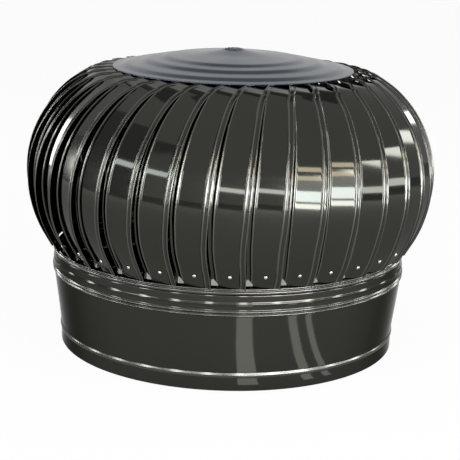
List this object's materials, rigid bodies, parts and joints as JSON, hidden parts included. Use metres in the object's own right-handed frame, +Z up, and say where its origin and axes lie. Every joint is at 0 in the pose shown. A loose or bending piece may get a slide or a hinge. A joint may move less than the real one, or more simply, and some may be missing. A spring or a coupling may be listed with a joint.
{
  "type": "roof turbine ventilator",
  "caption": "Wind-driven roof turbine ventilator: a ball of curved louvre blades under a ribbed cap spins on a fixed shaft above a beaded sheet-metal throat and draws air out of the roof.",
  "frame": {"origin": "centre of the throat's bottom rim, where it meets the roof upstand", "axes": "+Z up along the spin axis; one frame arm points along +Y; the rest is round about Z"},
  "size_m": [0.7188, 0.7188, 0.5232],
  "materials": {
    "polished_sheet": "mirror-polished stainless sheet",
    "cap_sheet": "duller rolled stainless sheet",
    "frame_steel": "plain cut flat bar and turned hubs",
    "shaft_steel": "machined bright steel"
  },
  "bodies": {
    "base": {"throat_collar": "polished_sheet", "shaft": "shaft_steel", "shaft_nuts": "shaft_steel", "bearing_inner_rings": "shaft_steel", "lower_frame_hub": "frame_steel", "upper_frame_hub": "frame_steel", "lower_frame_screws": "shaft_steel", "upper_frame_screws": "shaft_steel", "lower_frame_arm_1": "frame_steel", "lower_frame_arm_2": "frame_steel", "lower_frame_arm_3": "frame_steel", "upper_frame_arm_1": "frame_steel", "upper_frame_arm_2": "frame_steel", "upper_frame_arm_3": "frame_steel"},
    "rotor": {"base_ring": "polished_sheet", "blades_01": "polished_sheet", "blades_02": "polished_sheet", "blades_03": "polished_sheet", "blades_04": "polished_sheet", "blades_05": "polished_sheet", "blades_06": "polished_sheet", "blades_07": "polished_sheet", "blades_08": "polished_sheet", "blades_09": "polished_sheet", "blades_10": "polished_sheet", "blades_11": "polished_sheet", "blades_12": "polished_sheet", "top_cap": "cap_sheet", "apex_cover": "cap_sheet", "rotor_arm_1": "frame_steel", "rotor_arm_2": "frame_steel", "rotor_arm_3": "frame_steel", "lower_rotor_hub": "frame_steel", "upper_rotor_hub": "frame_steel", "mid_hoop": "frame_steel", "bearing_outer_rings": "shaft_steel", "rotor_arm_screws": "shaft_steel", "cap_screws": "shaft_steel"}
  },
  "joints": [
    {"name": "rotor_spin", "type": "hinge", "parent": "base", "child": "rotor", "pos_m": [0, 0, 0.3], "axis": [0, 0, 1], "continuous": true}
  ]
}
